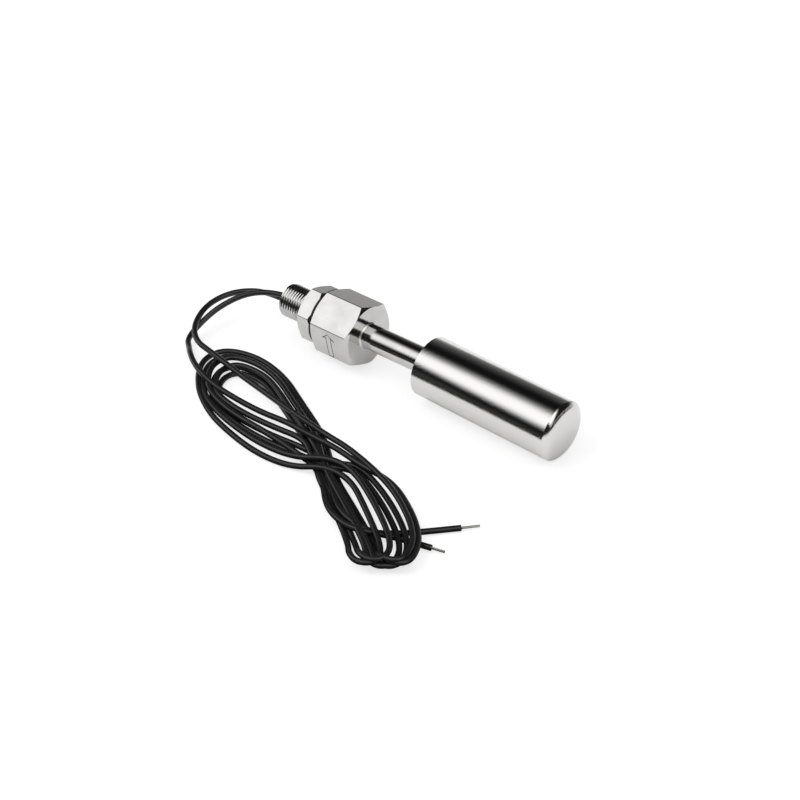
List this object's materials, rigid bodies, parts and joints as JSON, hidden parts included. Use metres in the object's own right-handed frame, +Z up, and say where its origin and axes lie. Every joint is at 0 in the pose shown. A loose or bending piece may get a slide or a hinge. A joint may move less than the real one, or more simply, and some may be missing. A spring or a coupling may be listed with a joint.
{
  "type": "float level switch",
  "caption": "Side-mounted float level switch: hexagon body with threaded nipple, stem, hinged hollow float whose magnet works a reed switch, and two lead wires.",
  "frame": {"origin": "on the surface it lies on, under the middle of the rigid parts' box (the lead wires left out)", "axes": "+X from the threaded nipple towards the float, +Z up from the surface"},
  "size_m": [0.1958, 0.1307, 0.0321],
  "materials": {
    "stainless_body": "turned and lightly polished",
    "stainless_nut": "turned",
    "stainless_stem": "polished",
    "stainless_pin": "ground",
    "stainless_float": "polished",
    "stainless_pressing": "as pressed",
    "gasket": "matt",
    "reed_glass": "clear",
    "reed_alloy": "drawn",
    "carrier_plastic": "moulded",
    "splice_sleeve": "shrunk on",
    "potting_resin": "cast",
    "inner_wire": "extruded",
    "lead_insulation": "extruded, satin",
    "tinned_copper": "tinned",
    "magnet": "plated"
  },
  "bodies": {
    "root": {"hex_body": "stainless_body", "sealing_gasket": "gasket", "lock_nut": "stainless_nut", "stem_tube": "stainless_stem", "stem_weld": "stainless_stem", "stem_end_cap": "stainless_stem", "hinge_pin": "stainless_pin", "reed_glass": "reed_glass", "reed_blade_near": "reed_alloy", "reed_blade_far": "reed_alloy", "reed_carrier": "carrier_plastic", "splice_a": "splice_sleeve", "splice_b": "splice_sleeve", "potting_plug": "potting_resin", "inner_wire_a": "inner_wire", "inner_wire_b": "inner_wire", "lead_hank": "lead_insulation", "lead_a_run": "lead_insulation", "lead_b_run": "lead_insulation", "lead_a_tail": "lead_insulation", "lead_b_tail": "lead_insulation", "conductor_a": "tinned_copper", "conductor_b": "tinned_copper"},
    "float": {"float_shell": "stainless_float", "float_front_cap": "stainless_float", "float_back_plate": "stainless_float", "float_pocket": "stainless_pressing", "float_bearing_left": "stainless_pressing", "float_bearing_right": "stainless_pressing", "magnet": "magnet", "magnet_holder": "stainless_pressing"}
  },
  "joints": [
    {"name": "float_swing", "type": "hinge", "parent": "root", "child": "float", "pos_m": [0.01283, 0.00031, 0.01562], "axis": [0.0038, -0.9816, -0.1908], "range_deg": [-4.8, 12.6]}
  ]
}
